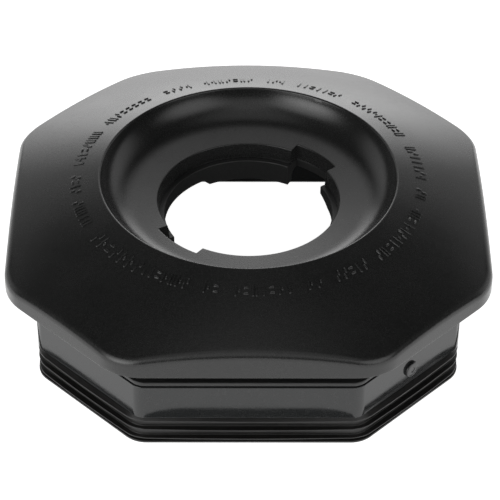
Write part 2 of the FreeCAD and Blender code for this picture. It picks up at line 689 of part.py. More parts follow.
os.makedirs("parts", exist_ok=True)
for node, piece in nodes.items():
    piece.Label = node
    shape = piece.Shape
    if shape.isNull() or not shape.isValid():
        raise RuntimeError(f"{node} has no valid shape")
    box = shape.optimalBoundingBox(False)
    sides = (("x", box.XMin, box.XMax), ("y", box.YMin, box.YMax), ("z", box.ZMin, box.ZMax))
    reach = ", ".join(f"{axis} {low:.2f} to {high:.2f}" for axis, low, high in sides)
    print(f"{node}: {len(shape.Solids)} solid(s), {shape.Volume / 1000:.2f} cm3, {reach}")
    shape.exportStep(f"parts/{node}.step")
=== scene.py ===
"""The looks of the blender jar lid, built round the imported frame. Lengths are millimetres until piece()."""
import math

import bmesh
import bpy
import numpy as np
from mathutils import Matrix, Vector


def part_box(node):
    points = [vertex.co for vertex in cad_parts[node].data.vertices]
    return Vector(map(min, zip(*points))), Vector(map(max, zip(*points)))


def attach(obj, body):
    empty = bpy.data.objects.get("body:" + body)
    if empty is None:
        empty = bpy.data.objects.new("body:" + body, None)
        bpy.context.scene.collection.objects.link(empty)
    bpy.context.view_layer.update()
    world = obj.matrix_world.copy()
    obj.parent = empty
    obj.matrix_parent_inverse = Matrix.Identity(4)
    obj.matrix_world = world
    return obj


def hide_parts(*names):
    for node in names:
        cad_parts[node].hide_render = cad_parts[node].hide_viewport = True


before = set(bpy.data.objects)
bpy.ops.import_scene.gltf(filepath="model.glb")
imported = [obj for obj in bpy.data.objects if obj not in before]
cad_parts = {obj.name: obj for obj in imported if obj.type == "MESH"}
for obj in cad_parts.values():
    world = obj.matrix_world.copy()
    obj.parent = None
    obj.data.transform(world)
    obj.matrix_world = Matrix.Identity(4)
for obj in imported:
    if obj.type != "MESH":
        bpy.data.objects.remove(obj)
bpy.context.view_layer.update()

MM = 0.001


def node_box(name):
    """The low and high corners of a CAD node, in millimetres."""
    low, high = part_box(name)
    return low / MM, high / MM


# ---------------------------------------------------------------------------------------------------------
# Where things are: from the frame, and the moulding details that go with it
# ---------------------------------------------------------------------------------------------------------
COVER_LOW, COVER_HIGH = node_box("top_cover")
NECK_LOW, NECK_HIGH = node_box("neck_ring")
SKIRT_LOW, SKIRT_HIGH = node_box("skirt_body")
SEAL_LOW, SEAL_HIGH = node_box("jar_seal")
COLLAR_LOW, COLLAR_HIGH = node_box("bayonet_collar")
PLUG_LOW, PLUG_HIGH = node_box("vent_plug")
CREST = COVER_HIGH.z

# Octagons: half the width across flats, the length cut off each corner, the corner radius, the wall
COVER_HALF, COVER_CUT, COVER_CORNER, COVER_WALL = COVER_HIGH.x, 41.0, 20.0, 2.5
SKIRT_HALF, SKIRT_CUT, SKIRT_CORNER, SKIRT_WALL = SKIRT_HIGH.x, 37.0, 6.0, 2.5
NECK_HALF, NECK_CORNER, NECK_WALL = 71.0, 6.0, 2.4
HUB_BOTTOM = COLLAR_HIGH.z


# ---------------------------------------------------------------------------------------------------------
# Outlines round Z
# ---------------------------------------------------------------------------------------------------------
def face_gap(half, cut):
    """How much further the corner faces of an octagon are from Z than its flat sides."""
    return (2 * half - cut) / math.sqrt(2) - half


def folded_eighth(theta):
    """Each direction folded into the eighth between the middles of a flat side and a corner face."""
    return np.abs((theta + math.pi / 4) % (math.pi / 2) - math.pi / 4)


def octagon_reach(theta, half, gap, corner):
    """The distance from Z to a rounded octagon in each direction of theta."""
    diagonal = half + gap
    folded = folded_eighth(theta)
    cx = half - corner
    cy = math.sqrt(2) * (diagonal - corner) - cx
    along = cx * np.cos(folded) + cy * np.sin(folded)
    arc = along + np.sqrt(np.maximum(along ** 2 - (cx ** 2 + cy ** 2 - corner ** 2), 0))
    flat = half / np.cos(folded)
    face = diagonal / np.cos(math.pi / 4 - folded)
    first = math.atan2(cy, half)
    last = math.atan2(cy + corner * math.sin(math.pi / 4), cx + corner * math.cos(math.pi / 4))
    return np.where(folded <= first, flat, np.where(folded >= last, face, arc))


def degrees_apart(degrees, middle):
    """How far directions are from a middle one, the short way round."""
    return abs((degrees - middle + 180) % 360 - 180)


def directions(coarse, fine, clusters):
    """Sorted directions round the turn: coarse steps, and fine ones within each (middle, half width)."""
    found = set(np.round(np.arange(0, 360, coarse), 4))
    for middle, half_width in clusters:
        around = np.arange(middle - half_width, middle + half_width + fine / 2, fine)
        found -= {a for a in found if degrees_apart(a, middle) < half_width}
        found |= set(np.round(around % 360, 4))
    return np.radians(np.array(sorted(found)))


def ring(theta, reach, height):
    """The points of one ring: reach and height are numbers or one value for each direction."""
    reach = np.broadcast_to(reach, theta.shape)
    height = np.broadcast_to(height, theta.shape)
    return np.column_stack([reach * np.cos(theta), reach * np.sin(theta), height])


# ---------------------------------------------------------------------------------------------------------
# Sections
# ---------------------------------------------------------------------------------------------------------
CORNER_STEPS = 4                        # flats round each corner of a section
MOST_OF_SIDE = 0.48                     # the share of a side that a corner's rounding takes at most
LEAST_CORNER = 0.3                      # the least corner radius of an outline round Z


def softened(section, closed=True):
    """A section's corners rounded. Each row is (across, height, rounding, further values...); the further
    values, such as a corner radius in plan, blend along the section. Returns rows without the rounding."""
    rows = [np.array(r, float) for r in section]
    places = [np.delete(r, 2) for r in rows]
    out = []
    for i, row in enumerate(rows):
        here, radius = places[i], row[2]
        if radius <= 0 or (not closed and i in (0, len(rows) - 1)):
            out.append(here)
            continue
        before, after = places[i - 1], places[(i + 1) % len(rows)]
        to_before, to_after = before - here, after - here
        length_before, length_after = np.hypot(*to_before[:2]), np.hypot(*to_after[:2])
        unit_before, unit_after = to_before / length_before, to_after / length_after
        angle = math.acos(np.clip(unit_before[:2] @ unit_after[:2], -1, 1))
        back = min(radius / math.tan(angle / 2), MOST_OF_SIDE * length_before, MOST_OF_SIDE * length_after)
        start, end = here + unit_before * back, here + unit_after * back
        bisector = unit_before[:2] + unit_after[:2]
        bisector /= np.hypot(*bisector)
        centre = here[:2] + bisector * (back / math.cos(angle / 2))
        sweep_start, sweep_end = start[:2] - centre, end[:2] - centre
        turn = math.atan2(sweep_start[0] * sweep_end[1] - sweep_start[1] * sweep_end[0],
                          sweep_start @ sweep_end)
        for k in range(CORNER_STEPS + 1):
            a = turn * k / CORNER_STEPS
            c, s = math.cos(a), math.sin(a)
            x, y = sweep_start
            point = start + (end - start) * k / CORNER_STEPS
            point[:2] = centre + np.array([c * x - s * y, s * x + c * y])
            out.append(point)
    return np.array(out)


def swept_octagon(theta, section, gap):
    """Rings of a band round an octagon. A section row is (half width across flats, height, rounding, corner
    radius, extra gap on the corner faces)."""
    return [ring(theta, octagon_reach(theta, half, gap + spread, max(corner, LEAST_CORNER)), height)
            for half, height, corner, spread in softened(section)]


# ---------------------------------------------------------------------------------------------------------
# Meshes
# ---------------------------------------------------------------------------------------------------------
def tube_of_rings(rings, closed):
    """A shell as (points, faces): quads between rings, and from the last to the first if closed. A ring
    that shrinks to one point makes a pole once doubles are merged."""
    count = len(rings[0])
    faces = []
    for i in range(len(rings) if closed else len(rings) - 1):
        a, b = i * count, (i + 1) % len(rings) * count
        for j in range(count):
            k = (j + 1) % count
            faces.append((a + j, a + k, b + k, b + j))
    return np.vstack(rings), faces


def piece(name, shells, body, material, replaces=()):
    """One object from closed shells, in metres, smooth with weighted normals, riding on its body."""
    mesh = bpy.data.meshes.new(name)
    shape = bmesh.new()
    for points, faces in shells:
        verts = [shape.verts.new(Vector(p) * MM) for p in points]
        for face in faces:
            shape.faces.new([verts[i] for i in face])
    bmesh.ops.remove_doubles(shape, verts=shape.verts, dist=1e-7)
    bmesh.ops.recalc_face_normals(shape, faces=shape.faces)
    for face in shape.faces:
        face.smooth = True
    shape.to_mesh(mesh)
    shape.free()
    mesh.materials.append(material)
    made = bpy.data.objects.new(name, mesh)
    bpy.context.scene.collection.objects.link(made)
    weighted = made.modifiers.new("weighted_normals", "WEIGHTED_NORMAL")
    weighted.weight = 80
    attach(made, body)
    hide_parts(*replaces)
    return made


def turned_shell(section, place, around=(0, 0, 1), count=40):
    """A closed shell turned round an axis through place. Section rows are (radius, height, rounding)."""
    theta = np.linspace(0, 2 * math.pi, count, endpoint=False)
    rings = [ring(theta, radius, height) for radius, height in softened(section)]
    points, faces = tube_of_rings(rings, closed=True)
    turn = Vector((0, 0, 1)).rotation_difference(Vector(around)).to_matrix()
    return points @ np.array(turn).T + np.array(place), faces


# ---------------------------------------------------------------------------------------------------------
# Materials
# ---------------------------------------------------------------------------------------------------------
class Nodes:
    """A small helper for wiring one material's nodes."""

    def __init__(self, name):
        self.material = bpy.data.materials.new(name)
        self.material.use_nodes = True
        self.tree = self.material.node_tree
        self.shader = self.tree.nodes["Principled BSDF"]
        self.place = self.add("ShaderNodeTexCoord").outputs["Object"]

    def add(self, kind, **settings):
        node = self.tree.nodes.new(kind)
        for key, value in settings.items():
            setattr(node, key, value)
        return node

    def link(self, source, target):
        self.tree.links.new(source, target)

    def noise(self, scale, detail=2.0, roughness=0.5, stretch=None):
        """Noise over the object's own metres: scale is cells per metre."""
        node = self.add("ShaderNodeTexNoise")
        node.inputs["Scale"].default_value = scale
        node.inputs["Detail"].default_value = detail
        node.inputs["Roughness"].default_value = roughness
        if stretch:
            mapping = self.add("ShaderNodeMapping")
            mapping.inputs["Scale"].default_value = stretch
            self.link(self.place, mapping.inputs["Vector"])
            self.link(mapping.outputs["Vector"], node.inputs["Vector"])
        else:
            self.link(self.place, node.inputs["Vector"])
        return node.outputs["Fac"]

    def cells(self, scale):
        """Small rounded cells, as in an etched mould face."""
        node = self.add("ShaderNodeTexVoronoi", feature="SMOOTH_F1")
        node.inputs["Scale"].default_value = scale
        self.link(self.place, node.inputs["Vector"])
        return node.outputs["Distance"]

    def remap(self, source, low, high, to_low, to_high):
        node = self.add("ShaderNodeMapRange")
        for key, value in zip(("From Min", "From Max", "To Min", "To Max"), (low, high, to_low, to_high)):
            node.inputs[key].default_value = value
        self.link(source, node.inputs["Value"])
        return node.outputs["Result"]

    def combine(self, kind, a, b):
        node = self.add("ShaderNodeMath", operation=kind)
        self.link(a, node.inputs[0])
        self.link(b, node.inputs[1])
        return node.outputs[0]

    def tint(self, source, low, high, first, second):
        """Colour that runs from first to second as source runs from low to high."""
        node = self.add("ShaderNodeValToRGB")
        node.color_ramp.elements[0].position = low
        node.color_ramp.elements[1].position = high
        node.color_ramp.elements[0].color = (*first, 1)
        node.color_ramp.elements[1].color = (*second, 1)
        self.link(source, node.inputs["Fac"])
        return node.outputs["Color"]

    def worn(self, low, high):
        """1 on the object's outer edges and 0 elsewhere, broken up so that the wear is uneven."""
        edge = self.remap(self.add("ShaderNodeNewGeometry").outputs["Pointiness"], low, high, 0, 1)
        patches = self.remap(self.noise(260, 5, 0.65), 0.42, 0.62, 0, 1)
        return self.combine("MULTIPLY", edge, patches)

    def bump(self, height, distance, under=None):
        """Bump of that height in metres; under is a coarser bump below it."""
        node = self.add("ShaderNodeBump")
        node.inputs["Distance"].default_value = distance
        node.inputs["Strength"].default_value = 1.0
        self.link(height, node.inputs["Height"])
        if under:
            self.link(under, node.inputs["Normal"])
        return node.outputs["Normal"]

    def finish(self, colour, roughness, normal, ior=1.5, metallic=0.0):
        self.link(colour, self.shader.inputs["Base Color"])
        self.link(roughness, self.shader.inputs["Roughness"])
        self.link(normal, self.shader.inputs["Normal"])
        self.shader.inputs["IOR"].default_value = ior
        self.shader.inputs["Metallic"].default_value = metallic
        return self.material


def satin_plastic(name, roughness):
    """Black moulded plastic with a fine etched grain, faint flow marks and slightly polished edges."""
    nodes = Nodes(name)
    clean, dusty = (0.0105, 0.0107, 0.0105), (0.01995, 0.02033, 0.01995)
    shade = nodes.tint(nodes.noise(900, 6, 0.7), 0.35, 0.85, clean, dusty)
    cloud = nodes.remap(nodes.noise(34, 4, 0.6), 0.3, 0.7, -0.035, 0.035)
    grain = nodes.remap(nodes.noise(2600, 3, 0.6), 0.3, 0.7, roughness - 0.05, roughness + 0.05)
    polish = nodes.remap(nodes.worn(0.53, 0.60), 0, 1, 0, 0.10)
    gloss = nodes.combine("SUBTRACT", nodes.combine("ADD", grain, cloud), polish)
    flow = nodes.bump(nodes.noise(22, 2, 0.4, stretch=(1, 1, 0.5)), 0.00022)
    etched = nodes.bump(nodes.cells(2100), 0.000012, under=flow)
    return nodes.finish(shade, gloss, etched)


def gloss_plastic(name):
    """Polished dark plastic: nearly a mirror, with slight waviness, hairline scuffs and a little dust."""
    nodes = Nodes(name)
    dust = nodes.tint(nodes.noise(700, 8, 0.75), 0.55, 0.95, (0.0150, 0.0158, 0.0160), (0.05, 0.05, 0.05))
    hair = nodes.remap(nodes.noise(240, 3, 0.6, stretch=(0.6, 0.6, 14)), 0.45, 0.75, 0.07, 0.14)
    gloss = nodes.combine("ADD", hair, nodes.remap(nodes.noise(60, 4, 0.6), 0.35, 0.7, 0, 0.04))
    sink = nodes.bump(nodes.noise(30, 1, 0.3), 0.00012)
    peel = nodes.bump(nodes.noise(420, 2, 0.5), 0.000004, under=sink)
    return nodes.finish(dust, gloss, peel)


def rubber(name):
    """Moulded black rubber: dull, with a fine powdery bloom and rubbed, shinier edges."""
    nodes = Nodes(name)
    bloom = nodes.tint(nodes.noise(480, 7, 0.7), 0.45, 0.9, (0.0045, 0.0043, 0.0040), (0.013, 0.012, 0.011))
    grain = nodes.remap(nodes.noise(1500, 4, 0.6), 0.3, 0.7, 0.30, 0.42)
    gloss = nodes.combine("SUBTRACT", grain, nodes.remap(nodes.worn(0.52, 0.60), 0, 1, 0, 0.12))
    waves = nodes.bump(nodes.noise(45, 2, 0.5), 0.00015)
    skin = nodes.bump(nodes.noise(1900, 4, 0.6), 0.000025, under=waves)
    return nodes.finish(bloom, gloss, skin, ior=1.52)


def steel(name):
    """Stainless steel, tumbled: bright with fine random scratches."""
    nodes = Nodes(name)
    shade = nodes.tint(nodes.noise(500, 5, 0.6), 0.3, 0.8, (0.50, 0.50, 0.49), (0.63, 0.63, 0.62))
    gloss = nodes.remap(nodes.noise(1200, 5, 0.7), 0.3, 0.7, 0.22, 0.36)
    scratches = nodes.bump(nodes.noise(900, 4, 0.7, stretch=(1, 6, 1)), 0.000012)
    return nodes.finish(shade, gloss, scratches, ior=2.5, metallic=1.0)


SATIN = satin_plastic("satin_black_plastic", 0.25)
INNER = satin_plastic("moulded_black_plastic", 0.40)
GLOSS = gloss_plastic("gloss_black_plastic")
RUBBER = rubber("black_rubber")
STEEL = steel("stainless_steel")


# ---------------------------------------------------------------------------------------------------------
# The cover
# ---------------------------------------------------------------------------------------------------------
LIP_REACH, LIP_ROUND, THROAT_REACH = 32.7, 0.4, 32.0
THROAT_EDGE = 0.25                      # the rounding of the throat's lower edge
NOTCH_REACH = 36.5
NOTCH_HALF, NOTCH_MIDDLES = 15.5, (45.0, 225.0)     # degrees
NOTCH_EDGE = 0.8                        # degrees that a notch's side takes
NOTCH_FINE = 1.2                        # degrees each way of a notch's side where the mesh is fine
FLOOR_REACH, FLOOR_DROP, LIP_DROP = 41.5, 10.235, 11.035
FLOOR_WALL, HUB_WALL, HUB_REACH = 2.5, 2.7, 39.5
BOWL_ROUND, UNDER_BOWL_ROUND, UNDER_BOWL_REACH = 13.0, 15.5, 55.5
CREST_REACH, CREST_HALF, CREST_ROUND = 53.2, 0.5, 0.7
BOWL_TOP_DROP, DOME_DROP = 0.435, 0.095     # from the crest's top to where the bowl ends and the dome starts
DOME_ROUND, DOME_END_REACH, DOME_END_DROP = 386.0, 93.0, 14.634
RIM_ROUND, RIM_EDGE, RIM_SLOPE = 3.5, 0.35, math.radians(22)     # the slope is the dome's at the rim
UNDER_RIM_ROUND, UNDER_RIM_DROP = 1.0, 0.3
DOME_WALL = COVER_WALL * 1.06           # the dome's wall measured along Z
BOSS_RADIUS, SMALL_BOSS_RADIUS, EAR_REACH, EAR_TOP = 4.2, 4.0, 43.2, 49.4
BOSSES = [(64.7, 33.7), (33.7, 64.7)]
PILOT_HOLE, SMALL_PILOT_HOLE, SCREW_HOLE, SMALL_SCREW_HOLE = 1.55, 1.15, 1.95, 1.4     # radii
GASKET_HEIGHT = 1.5                     # from the neck ring's top to the rib that presses on the gasket
IN_DOME_RIB, IN_DOME_BOSS = COVER_WALL * 0.6, COVER_WALL * 1.3     # how far tops are below the dome's face
COVER_GAP = face_gap(COVER_HALF, COVER_CUT)
NOTCH_SIDES = [m + s * NOTCH_HALF for m in NOTCH_MIDDLES for s in (-1, 1)]


def arc_centre(start, end, radius):
    """The centre of the shorter arc from start to end, bulging to the right of travel for radius > 0."""
    chord = end - start
    length = np.hypot(*chord)
    left = np.array([-chord[1], chord[0]]) / length
    return (start + end) / 2 + left * math.copysign(math.sqrt(radius ** 2 - (length / 2) ** 2), radius)


def arc_points(start, end, radius, count):
    """Points of the shorter arc from start to end, bulging to the right of travel for radius > 0."""
    start, end = np.array(start, float), np.array(end, float)
    centre = arc_centre(start, end, radius)
    first = math.atan2(*(start - centre)[::-1])
    turn = (math.atan2(*(end - centre)[::-1]) - first + math.pi) % (2 * math.pi) - math.pi
    angles = [first + turn * k / count for k in range(count + 1)]
    return [centre + abs(radius) * np.array([math.cos(a), math.sin(a)]) for a in angles]


DOME_START = (CREST_REACH + CREST_HALF, CREST - DOME_DROP)
DOME_END = (DOME_END_REACH, CREST - DOME_END_DROP)
DOME_CENTRE = arc_centre(np.array(DOME_START), np.array(DOME_END), -DOME_ROUND)


def dome_height(reach):
    """The height of the dome's outer face at a distance from Z."""
    return DOME_CENTRE[1] + np.sqrt(DOME_ROUND ** 2 - (np.asarray(reach) - DOME_CENTRE[0]) ** 2)


def floor_height(reach):
    """The height of the bowl's sloping floor."""
    slope = (LIP_DROP - FLOOR_DROP) / (FLOOR_REACH - LIP_REACH)
    return CREST - FLOOR_DROP - slope * (FLOOR_REACH - np.asarray(reach))


def in_notch(theta):
    """1 inside the bayonet notches, 0 outside, with a short smooth step at each side."""
    degrees = np.degrees(theta)
    inside = np.zeros_like(theta)
    for middle in NOTCH_MIDDLES:
        away = degrees_apart(degrees, middle)
        step = np.clip((NOTCH_HALF + NOTCH_EDGE / 2 - away) / NOTCH_EDGE, 0, 1)
        inside = np.maximum(inside, step * step * (3 - 2 * step))
    return inside


def quarter_arc(steps):
    """Pairs of shares of the radius along a quarter circle, from (0, 1) to (1, 0)."""
    angles = [math.pi / 2 * k / steps for k in range(steps + 1)]
    return [(1 - math.cos(a), 1 - math.sin(a)) for a in angles]


def throat_rings(theta):
    """From the throat's lower edge up over its lip and out along the bowl's floor."""
    notched = in_notch(theta)
    lip = LIP_REACH + notched * (NOTCH_REACH - LIP_REACH)
    throat = THROAT_REACH + notched * (NOTCH_REACH - THROAT_REACH)
    lip_top = floor_height(lip + LIP_ROUND)
    bevel = 0.07                        # how far the middle of the edge's rounding is from its corner
    rings = [ring(theta, throat + THROAT_EDGE, HUB_BOTTOM), ring(theta, throat + bevel, HUB_BOTTOM + bevel),
             ring(theta, throat, HUB_BOTTOM + THROAT_EDGE),
             ring(theta, (throat + lip) / 2, (HUB_BOTTOM + lip_top) / 2)]
    rings += [ring(theta, lip + LIP_ROUND * out, lip_top - LIP_ROUND * down) for out, down in quarter_arc(5)]
    full_circle, outermost = 38.5, 40.2     # the notches no longer show from full_circle outwards
    for share in (0.25, 0.5, 0.75, 1.0):
        reach = (lip + LIP_ROUND) * (1 - share) + full_circle * share
        rings.append(ring(theta, reach, floor_height(reach)))
    return rings + [ring(theta, outermost, floor_height(outermost))]


def cover_outline(theta, inset):
    """The cover's octagon, drawn in by inset."""
    return octagon_reach(theta, COVER_HALF - inset, COVER_GAP, COVER_CORNER - inset)


def dome_rings(theta):
    """Up the bowl's wall, over the crest and down the dome to the rim's rounding."""
    bowl = arc_points((FLOOR_REACH, CREST - FLOOR_DROP), (CREST_REACH - CREST_HALF, CREST - BOWL_TOP_DROP),
                      BOWL_ROUND, 16)
    crest = arc_points(bowl[-1], DOME_START, -CREST_ROUND, 5)
    rings = [ring(theta, *p) for p in bowl + crest[1:]]
    dome_end = cover_outline(theta, RIM_ROUND * (1 - math.sin(RIM_SLOPE)))
    steps = 26
    for k in range(1, steps + 1):
        reach = DOME_START[0] * (1 - k / steps) + dome_end * k / steps
        rings.append(ring(theta, reach, dome_height(reach)))
    return rings


def rim_rings(theta):
    """Round the rim's upper edge, down its face and round its lower edges."""
    low = COVER_LOW.z
    fillet_height = dome_height(cover_outline(theta, RIM_ROUND)) - RIM_ROUND / math.cos(RIM_SLOPE)
    steps = 8
    rings = []
    for k in range(1, steps + 1):
        a = (math.pi / 2 - RIM_SLOPE) * (1 - k / steps)
        reach = cover_outline(theta, RIM_ROUND * (1 - math.cos(a)))
        rings.append(ring(theta, reach, fillet_height + RIM_ROUND * math.sin(a)))
    for share in (0.35, 0.7):
        height = fillet_height * (1 - share) + (low + RIM_EDGE) * share
        rings.append(ring(theta, cover_outline(theta, 0), height))
    for inwards, up in quarter_arc(3):
        rings.append(ring(theta, cover_outline(theta, RIM_EDGE * inwards), low + RIM_EDGE * up))
    for up, outwards in quarter_arc(3):
        reach = cover_outline(theta, COVER_WALL - RIM_EDGE * outwards)
        rings.append(ring(theta, reach, low + RIM_EDGE * up))
    return rings


def underside_rings(theta):
    """Up inside the rim, along under the dome and the bowl, and down the outside of the hub."""
    wall = cover_outline(theta, COVER_WALL)
    under = dome_height(wall) - DOME_WALL
    rings = []
    for share in (0.0, 0.35, 0.7, 1.0):
        a = math.pi / 2 * share
        rings.append(ring(theta, wall - UNDER_RIM_ROUND * (1 - math.cos(a)),
                          under - UNDER_RIM_ROUND * (1 - math.sin(a)) - UNDER_RIM_DROP))
    steps = 14
    for k in range(1, steps + 1):
        share = k / steps
        reach = (wall - UNDER_RIM_ROUND) * (1 - share) + UNDER_BOWL_REACH * share
        rings.append(ring(theta, reach, dome_height(reach) - DOME_WALL - UNDER_RIM_DROP * (1 - share)))
    floor_under = CREST - FLOOR_DROP - FLOOR_WALL
    under_bowl = arc_points((UNDER_BOWL_REACH, dome_height(UNDER_BOWL_REACH) - DOME_WALL),
                            (FLOOR_REACH, floor_under), -UNDER_BOWL_ROUND, 10)
    hub = softened([(FLOOR_REACH, floor_under, 0), (HUB_REACH, CREST - FLOOR_DROP - HUB_WALL, 0.6),
                    (HUB_REACH, HUB_BOTTOM, 0.25), (HUB_REACH - 1.5, HUB_BOTTOM, 0)], closed=False)
    return rings + [ring(theta, *p) for p in [*under_bowl[1:], *hub[1:]]]


def cover_rings(theta):
    """The cover's closed section in every direction."""
    return throat_rings(theta) + dome_rings(theta) + rim_rings(theta) + underside_rings(theta)


def boss_shell(x, y, radius, low, high, hole):
    """A screw boss with its hole, standing from low to high."""
    section = [(hole, low, 0.15), (radius, low, 0.3), (radius, high, 0), (hole, high, 0)]
    return turned_shell(section, (x, y, 0))


def quarter_turns(places):
    """The places and their copies a quarter, half and three quarters of a turn on."""
    return [p for x, y in places for p in ((x, y), (-y, x), (-x, -y), (y, -x))]


def rib_rings(theta):
    """The octagonal rib that presses on the cover gasket, its top inside the dome's wall."""
    gap = face_gap(SKIRT_HALF, SKIRT_CUT)
    low = NECK_HIGH.z + GASKET_HEIGHT
    rings = []
    for half, top in ((NECK_HALF, False), (NECK_HALF, True), (NECK_HALF - NECK_WALL, True),
                      (NECK_HALF - NECK_WALL, False)):
        reach = octagon_reach(theta, half, gap, NECK_CORNER - (NECK_HALF - half))
        rings.append(ring(theta, reach, dome_height(reach) - IN_DOME_RIB if top else low))
    return rings


# ---------------------------------------------------------------------------------------------------------
# Raised marks round the dome: plain bars and dots in groups, no letters
# ---------------------------------------------------------------------------------------------------------
MARK_HEIGHT, MARK_REACH = 0.38, 61.8
MARK_TALL, MARK_WIDE, MARK_BAR, MARK_PITCH = 4.0, 1.75, 0.6, 2.8     # for marks of size 1
MARK_GROUPS = [                         # from and to, in degrees, and size
    (234, 211, 1.3), (205, 192, 1.0), (188, 178, 1.0), (173, 152, 1.0), (148, 126, 1.0), (121, 110, 1.0),
    (106, 88, 1.0), (84, 77, 1.0), (73, 56, 1.0), (51, 25, 1.0), (19, 0, 1.0), (-5, -11, 1.0),
    (-16, -45, 1.0), (-49, -62, 1.0), (-66, -72, 1.0), (-76, -95, 1.0), (-99, -105, 1.0), (-109, -126, 1.0),
]


def mark_shell(angle, reach, width, length):
    """One raised bar with round ends and sloping sides on the dome: width round it, length outwards."""
    radius = min(width, length) / 2
    across, outwards = width / 2 - radius, length / 2 - radius
    outline = []
    for cx, cy, first in ((across, outwards, 0), (-across, outwards, 90), (-across, -outwards, 180),
                          (across, -outwards, 270)):
        for k in range(5):
            a = math.radians(first + 22.5 * k)
            outline.append((cx, cy, math.cos(a), math.sin(a)))
    rings = []
    for grow, lift in ((radius + 0.10, -0.25), (radius + 0.08, 0.0), (radius - 0.02, MARK_HEIGHT * 0.8),
                       (radius - 0.10, MARK_HEIGHT)):
        points = []
        for cx, cy, ux, uy in outline:
            out, side = reach + cy + grow * uy, cx + grow * ux
            turn = angle - side / reach
            points.append((out * math.cos(turn), out * math.sin(turn), dome_height(out) + lift))
        rings.append(np.array(points))
    points, faces = tube_of_rings(rings, closed=False)
    size = len(outline)
    faces += [tuple(range(size))[::-1], tuple(range(len(points) - size, len(points)))]
    return points, faces


def mark_parts(kind, tall, wide, bar):
    """The bars of one mark, each as (sideways, outwards, width, length) from the mark's middle."""
    side, end = (wide - bar) / 2, tall / 2
    if kind == 0:
        return [(0, 0, bar, tall)]
    if kind == 1:
        return [(-side, 0, bar, tall), (side, 0, bar, tall)]
    if kind == 2:
        return [(0, -end / 2, wide, bar), (0, end / 2, wide, bar)]
    if kind == 3:
        return [(-side, 0, bar, tall), (side, 0, bar, bar * 1.6)]
    return [(-side, end / 2, bar, end), (side, -end / 2, bar, end)]


def mark_ring():
    """Groups of marks clockwise from the left front, the first group larger: a plain raised band."""
    pick = np.random.default_rng(7)
    shells = []
    for first, last, size in MARK_GROUPS:
        tall, wide, bar = MARK_TALL * size, MARK_WIDE * size, MARK_BAR * size
        sweep = math.radians(first - last)
        count = max(1, round(sweep * MARK_REACH / (MARK_PITCH * size)))
        for k in range(count):
            middle = math.radians(first) - (k + 0.5) * sweep / count
            for side, out, width, length in mark_parts(pick.integers(0, 5), tall, wide, bar):
                shells.append(mark_shell(middle + side / MARK_REACH, MARK_REACH + out, width, length))
    return shells


def make_cover():
    sides = [(side % 360, NOTCH_FINE) for side in NOTCH_SIDES]
    theta = directions(0.75, 0.1, sides)
    shells = [tube_of_rings(cover_rings(theta), closed=True), tube_of_rings(rib_rings(theta), closed=True)]
    for x, y in quarter_turns(BOSSES):
        top = dome_height(math.hypot(x, y)) - IN_DOME_BOSS
        shells.append(boss_shell(x, y, BOSS_RADIUS, NECK_HIGH.z, top, PILOT_HOLE))
    for x, y in quarter_turns([(EAR_REACH, 0)]):
        shells.append(boss_shell(x, y, SMALL_BOSS_RADIUS, HUB_BOTTOM, EAR_TOP, SMALL_PILOT_HOLE))
    piece("top_cover_shell", shells + mark_ring(), "lid", SATIN, ["top_cover"])


# ---------------------------------------------------------------------------------------------------------
# Neck ring, skirt and seal: bands round one octagon
# ---------------------------------------------------------------------------------------------------------
SKIRT_GAP = face_gap(SKIRT_HALF, SKIRT_CUT)
FOOT_SPREAD = 1.05                      # how much further out the foot and seal sit on the corner faces
FOOT_CORNER, FOOT_INSET, FOOT_WALL = 7.5, 2.4, 1.9
SEAL_GAP = 0.1                          # between the foot and the seal round it
FIN_BOW = 0.7                           # how far a fin's edge falls back towards the ends of a face
FIN_WAVE = 0.04                         # how far a fin's edge waves up and down
FIN_TOPS, FIN_EDGE, FIN_FLARE = (2.5, 6.5, 10.5), 0.5, 0.3     # heights, edge thickness, growth to the web
FIN_MARGIN = 0.05                       # how far the fins' tips stay inside the CAD
CORNERS = [(a + turn, 3.2) for turn in (0, 90, 180, 270) for a in (26.9, 63.1)]     # (middle, half width)
WALL_LOW = SEAL_LOW.z + 11.6            # where the skirt's wall ends above the seal
LEDGE_BOTTOM, LEDGE_TOP = NECK_LOW.z, NECK_LOW.z + 1.55
FLANGE_REACH = 8.8                      # how far the screwed flanges reach inwards from the skirt's face


def make_neck_ring():
    theta = directions(2.5, 0.2, CORNERS)
    s, n = SKIRT_HALF, NECK_HALF
    section = [
        (s, LEDGE_BOTTOM, 0.25, SKIRT_CORNER, 0), (s, LEDGE_TOP, 0.45, SKIRT_CORNER, 0),
        (n, LEDGE_TOP, 0.5, NECK_CORNER, 0), (n, NECK_HIGH.z, 0.2, NECK_CORNER, 0),
        (n - NECK_WALL, NECK_HIGH.z, 0.2, NECK_CORNER - NECK_WALL, 0),
        (n - NECK_WALL, LEDGE_TOP, 0.5, NECK_CORNER - NECK_WALL, 0),
        (s - FLANGE_REACH, LEDGE_TOP, 0.3, 1.0, 0), (s - FLANGE_REACH, LEDGE_BOTTOM, 0.3, 1.0, 0),
    ]
    shells = [tube_of_rings(swept_octagon(theta, section, SKIRT_GAP), closed=True)]
    for x, y in quarter_turns(BOSSES):
        shells.append(boss_shell(x, y, BOSS_RADIUS, LEDGE_BOTTOM, NECK_HIGH.z, SCREW_HOLE))
    piece("neck_ring_band", shells, "lid", INNER, ["neck_ring"])


